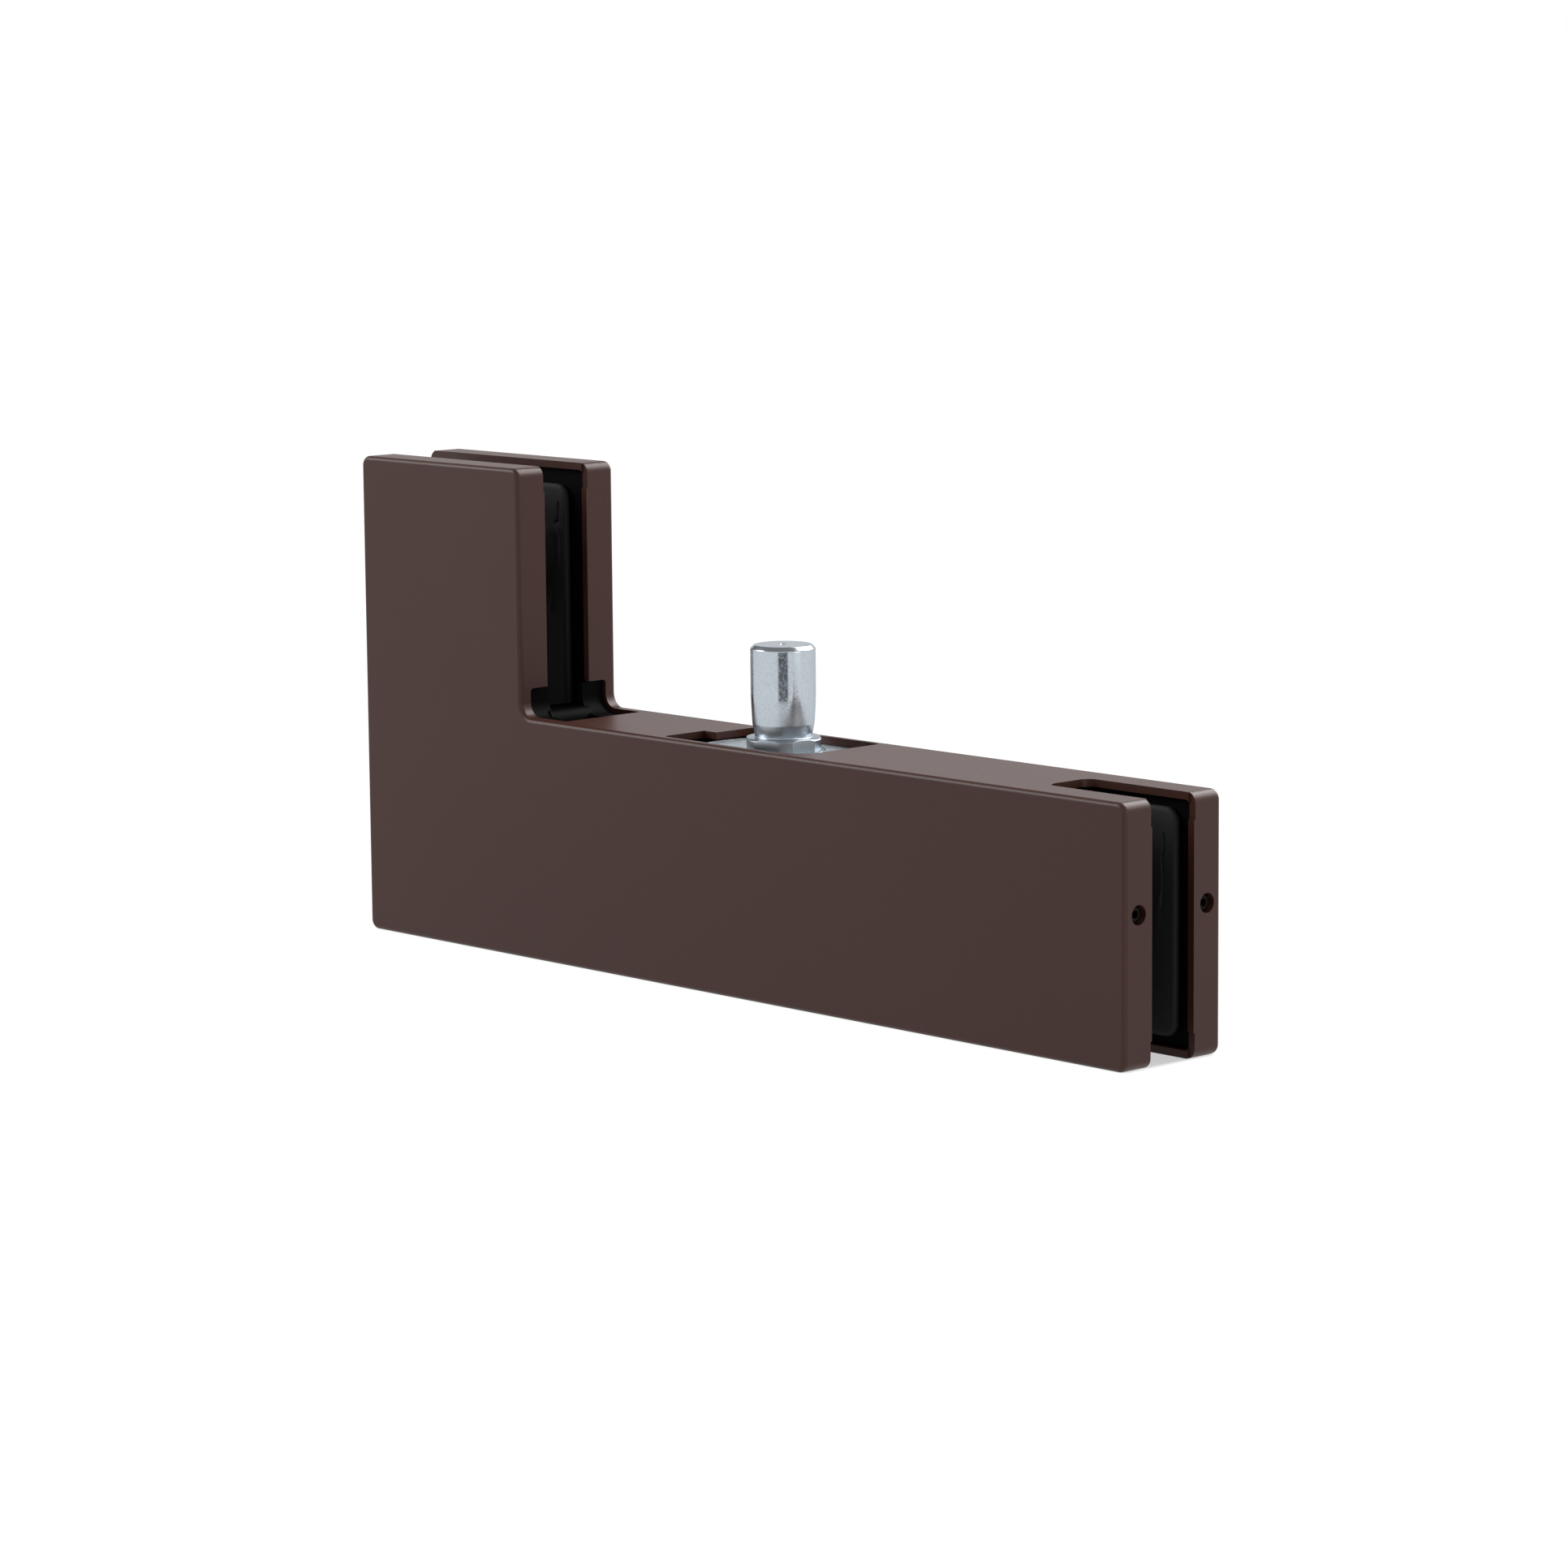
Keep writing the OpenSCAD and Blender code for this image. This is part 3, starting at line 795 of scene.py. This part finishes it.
@dataclass
class Pivot:
    """The pivot pin, turned from one bar with a hexagon at its foot, and its washer."""

    finishes: Finishes
    steps: int = 288
    seat_z: float = 52.3
    washer_edge_mm: float = 0.15
    shank_low: float = -22.0
    shank_tip_r: float = 0.5
    shank_ease: float = 0.8
    core_d: float = 8.7
    thread_d: float = 10.0
    thread_pitch: float = 1.5
    thread_l: float = 21.0
    hex_af: float = 15.7
    hex_over_d: float = 16.6
    hex_turn_deg: float = 20.0
    hex_h: float = 2.9
    hex_chamfer: float = 0.3
    hex_ease: float = 0.12
    neck_d: float = 12.2
    neck_l: float = 2.9
    neck_ease: float = 0.4
    foot_d: float = 13.3
    foot_ease: float = 0.12
    taper_l: float = 5.5
    taper_ease: float = 1.2
    barrel_d: float = 14.0
    top_z: float = 22.7
    top_chamfer: float = 0.8
    top_ease: float = 0.2
    centre_r: float = 0.7
    centre_depth: float = 0.5
    centre_ease: float = 0.1
    centre_tip_r: float = 0.05

    def build(self) -> None:
        """Builds the pin, its thread and the washer."""
        low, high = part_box("pivot_pin")
        axis = Matrix.Translation((low.x / 2 + high.x / 2, 0, self.seat_z * MM))
        bm = lathe(self.rings(), self.steps)
        bmesh.ops.transform(bm, matrix=axis, verts=bm.verts)
        zinc = self.finishes.of(Slot.ZINC)
        hand_over(piece_from(bm, "pivot_pin_turned", zinc), Body.PIN, Slot.ZINC, "pivot_pin")
        sizes = Thread(self.thread_d, self.thread_pitch, self.thread_l)
        thread = sizes.build(ThreadShape(), "pivot_pin_thread", zinc)
        low_end = (self.shank_low - self.thread_l) / 2 + sizes.ridge_mm
        thread.data.transform(axis @ Matrix.Translation((0, 0, low_end * MM)))
        hand_over(thread, Body.PIN, Slot.ZINC)
        bm = merged_copy("pin_washer")
        soften(bm, self.washer_edge_mm)
        hand_over(piece_from(bm, "pin_washer_dressed", zinc), Body.WASHER, Slot.ZINC, "pin_washer")

    def hex_radius(self, angle: float) -> float:
        """The hexagon's radius at an angle, its corners blunted.

        Args:
            angle: The angle about the pin.

        Returns:
            The radius in millimetres.
        """
        sixth = math.pi / 3
        off = (angle - math.radians(self.hex_turn_deg)) % sixth - sixth / 2
        return min(self.hex_af / 2 / math.cos(off), self.hex_over_d / 2)

    def hex_side_top(self, angle: float) -> float:
        """The height at which the hexagon's side meets its top or its chamfer, at an angle."""
        return self.hex_h - max(self.hex_radius(angle) - self.hex_over_d / 2 + self.hex_chamfer, 0.0)

    def rings(self) -> list[Ring]:
        """The pin's rings from the shank's tip to the centre mark.

        Returns:
            The rings, with the hexagon's seat at height 0.
        """
        top_r = self.hex_over_d / 2 - self.hex_chamfer
        ease, nick = self.hex_ease, self.hex_ease * 0.3
        hexagon: list[Ring] = [
            (lambda a: self.hex_radius(a) - ease, fixed(0.0)),
            (lambda a: self.hex_radius(a) - nick, fixed(nick)),
            (self.hex_radius, fixed(ease)),
            (self.hex_radius, lambda a: self.hex_side_top(a) - ease),
            (lambda a: self.hex_radius(a) - nick, lambda a: self.hex_side_top(a) - nick),
            (lambda a: min(self.hex_radius(a), top_r) - ease, fixed(self.hex_h)),
        ]
        core = self.core_d / 2
        shank = eased([
            (self.shank_tip_r, self.shank_low, 0), (core, self.shank_low, self.shank_ease), (core, 0.0, 0)])
        foot_z = self.hex_h + self.neck_l
        barrel = eased([
            (self.neck_d / 2 + 1.5 * self.neck_ease, self.hex_h, 0),
            (self.neck_d / 2, self.hex_h, self.neck_ease),
            (self.foot_d / 2, foot_z, self.foot_ease),
            (self.barrel_d / 2, foot_z + self.taper_l, self.taper_ease),
            (self.barrel_d / 2, self.top_z - self.top_chamfer, self.top_ease),
            (self.barrel_d / 2 - self.top_chamfer, self.top_z, self.top_ease),
            (self.centre_r, self.top_z, self.centre_ease),
            (self.centre_tip_r, self.top_z - self.centre_depth, 0),
        ])
        turned = [(fixed(r), fixed(z)) for r, z in shank]
        return turned + hexagon + [(fixed(r), fixed(z)) for r, z in barrel]


@dataclass(frozen=True)
class Lamp:
    """A square soft lamp: its name, its place and side in metres, and its power in watts."""

    name: str
    place: tuple[float, float, float]
    side: float
    watts: float


@dataclass
class Studio:
    """The floor, the light and the camera."""

    azimuth_deg: float = 47.013
    elevation_deg: float = 8.423
    roll_deg: float = -0.498
    target_mm: tuple[float, float, float] = (6.286, 0.0, 44.9)
    distance_mm: float = 1090.6
    lens_mm: float = 117.2
    sensor_mm: float = 36.0
    floor_m: float = 4.0
    sky: float = 0.63
    wall_top: float = 0.3
    ceiling_from: float = 0.62
    ceiling: float = 0.3
    tilt: float = 0.15
    paper: str = "#A8A8A8"
    white: float = 1.06
    inset_m: float = 0.002
    under_share: float = 0.55
    near_share: float = 0.93
    fade_m: float = 0.4
    card: str = "#6A6C6E"
    card_away_m: float = 0.3
    card_half_m: float = 0.09
    card_h_m: float = 0.07
    lamps: tuple[Lamp, ...] = (
        Lamp("rear_lamp", (0.1, 0.95, 0.9), 1.0, 23.0),
        Lamp("left_lamp", (-1.35, -1.1, 1.0), 1.0, 21.0),
        Lamp("right_lamp", (0.62, 0.1, 0.15), 0.2, 0.4))

    def build(self) -> None:
        """Builds the whole studio."""
        bpy.context.scene.view_settings.view_transform = "Standard"
        self.floor()
        self.world()
        for lamp in self.lamps:
            self.hang(lamp)
        self.flag()
        self.camera()

    def backwards(self) -> Vector:
        """The direction from the object to the camera."""
        a, e = math.radians(self.azimuth_deg), math.radians(self.elevation_deg)
        return Vector((math.sin(a) * math.cos(e), -math.cos(a) * math.cos(e), math.sin(e)))

    def camera(self) -> None:
        """Sets the camera at the photograph's place."""
        back = self.backwards()
        right = Vector((0, 0, 1)).cross(back).normalized()
        up = back.cross(right)
        turn = Matrix((right, up, back)).transposed().to_4x4() @ Matrix.Rotation(math.radians(self.roll_deg), 4, "Z")
        data = bpy.data.cameras.new("camera")
        data.lens = self.lens_mm
        data.sensor_width = self.sensor_mm
        data.clip_start = 0.01
        camera = bpy.data.objects.new("camera", data)
        place = Vector(self.target_mm) * MM + back * self.distance_mm * MM
        camera.matrix_world = Matrix.Translation(place) @ turn
        bpy.context.scene.collection.objects.link(camera)
        bpy.context.scene.camera = camera

    def hang(self, lamp: Lamp) -> None:
        """Hangs one soft lamp that faces the object.

        Args:
            lamp: The lamp.
        """
        data = bpy.data.lights.new(lamp.name, "AREA")
        data.size = lamp.side
        data.energy = lamp.watts
        obj = bpy.data.objects.new(lamp.name, data)
        to = Vector(self.target_mm) * MM - Vector(lamp.place)
        obj.matrix_world = Matrix.Translation(lamp.place) @ to.to_track_quat("-Z", "Y").to_matrix().to_4x4()
        bpy.context.scene.collection.objects.link(obj)

    @staticmethod
    def seen_directly(tree: NodeTree) -> NodeSocket:
        """Tells what the camera, a reflection or glass sees from what only lights other things.

        Args:
            tree: The tree that takes the nodes.

        Returns:
            1 for a camera, glossy or transmission ray, 0 for the others.
        """
        light = add_node(tree, "ShaderNodeLightPath").outputs
        seen = add_node(tree, "ShaderNodeMath", {
            0: light["Is Camera Ray"], 1: light["Is Glossy Ray"]}, operation="MAXIMUM")
        return add_node(tree, "ShaderNodeMath", {
            0: seen.outputs[0], 1: light["Is Transmission Ray"]}, operation="MAXIMUM").outputs[0]

    def world(self) -> None:
        """Sets white walls under a dim ceiling, less strong as a light than as a backdrop."""
        world = bpy.data.worlds.new("studio")
        bpy.context.scene.world = world
        world.use_nodes = True
        tree = world.node_tree
        tree.nodes.clear()
        level = add_node(tree, "ShaderNodeMapRange", {
            "Value": self.seen_directly(tree), "To Min": self.sky, "To Max": 1.0})
        way = add_node(tree, "ShaderNodeTexCoord").outputs["Generated"]
        height = add_node(tree, "ShaderNodeVectorMath", {0: way, 1: (-self.tilt, 0, 1)}, operation="DOT_PRODUCT")
        shade = add_node(tree, "ShaderNodeMapRange", {
            "Value": height.outputs["Value"], "From Min": self.wall_top, "From Max": self.ceiling_from,
            "To Min": 1.0, "To Max": self.ceiling}, interpolation_type="SMOOTHSTEP")
        backdrop = add_node(tree, "ShaderNodeBackground", {
            "Color": shade.outputs["Result"], "Strength": level.outputs["Result"]})
        add_node(tree, "ShaderNodeOutputWorld", {"Surface": backdrop.outputs[0]})

    def floor(self) -> None:
        """Lays a white floor that keeps the object's shadow."""
        half = self.floor_m / 2
        mesh = bpy.data.meshes.new("floor")
        mesh.from_pydata([(-half, -half, 0), (half, -half, 0), (half, half, 0), (-half, half, 0)], [], [(0, 1, 2, 3)])
        material, tree, coords = blank_material("white_paper_floor")
        paper = add_node(tree, "ShaderNodeBsdfDiffuse", {"Color": linear(self.paper)})
        white = add_node(tree, "ShaderNodeEmission", {"Color": (1, 1, 1, 1), "Strength": self.white})
        # The paper right under the object stays in its shadow, and the shadow fades out round it
        reach = Vector((CAD_BOX[1].x - self.inset_m, CAD_BOX[1].y - self.inset_m, 0.0))
        apart = add_node(tree, "ShaderNodeVectorMath", {0: coords}, operation="ABSOLUTE")
        apart = add_node(tree, "ShaderNodeVectorMath", {0: apart.outputs[0], 1: reach}, operation="SUBTRACT")
        apart = add_node(tree, "ShaderNodeVectorMath", {0: apart.outputs[0], 1: (0, 0, 0)}, operation="MAXIMUM")
        far = add_node(tree, "ShaderNodeVectorMath", {0: apart.outputs[0]}, operation="LENGTH").outputs["Value"]
        near = add_node(tree, "ShaderNodeMapRange", {
            "Value": far, "From Max": self.inset_m, "To Min": self.under_share})
        fade = add_node(tree, "ShaderNodeMapRange", {
            "Value": far, "From Max": self.fade_m, "To Min": self.near_share})
        share = add_node(tree, "ShaderNodeMath", {
            0: near.outputs["Result"], 1: fade.outputs["Result"]}, operation="MULTIPLY")
        share = add_node(tree, "ShaderNodeMath", {
            0: self.seen_directly(tree), 1: share.outputs[0]}, operation="MULTIPLY")
        close_material(tree, add_node(tree, "ShaderNodeMixShader", {
            0: share.outputs[0], 1: paper.outputs[0], 2: white.outputs[0]}))
        mesh.materials.append(material)
        floor = bpy.data.objects.new("floor", mesh)
        bpy.context.scene.collection.objects.link(floor)

    def flag(self) -> None:
        """Stands a grey card by the camera, which only reflections see."""
        away = Vector((self.backwards().x, self.backwards().y, 0)).normalized()
        across = Vector((-away.y, away.x, 0))
        middle = Vector((self.target_mm[0] * MM, 0, 0)) + away * self.card_away_m
        feet = [middle - across * self.card_half_m, middle + across * self.card_half_m]
        rise = Vector((0, 0, self.card_h_m))
        mesh = bpy.data.meshes.new("flag_card")
        mesh.from_pydata([*feet, feet[1] + rise, feet[0] + rise], [], [(0, 1, 2, 3)])
        material, tree, _ = blank_material("grey_card")
        close_material(tree, add_node(tree, "ShaderNodeBsdfDiffuse", {"Color": linear(self.card)}))
        mesh.materials.append(material)
        card = bpy.data.objects.new("flag_card", mesh)
        bpy.context.scene.collection.objects.link(card)
        card.visible_camera = False
        card.visible_diffuse = False
        card.visible_shadow = False
        card.visible_transmission = False


def main() -> None:
    """Builds the fitting's pieces and the studio in order."""
    logging.basicConfig(level=logging.INFO, format="%(name)s: %(message)s")
    Studio().build()
    finishes = Finishes.all()
    CutPieces(finishes).build()
    Pads(finishes).build()
    Fasteners(finishes).build()
    Pivot(finishes).build()


if __name__ == "__main__":
    main()
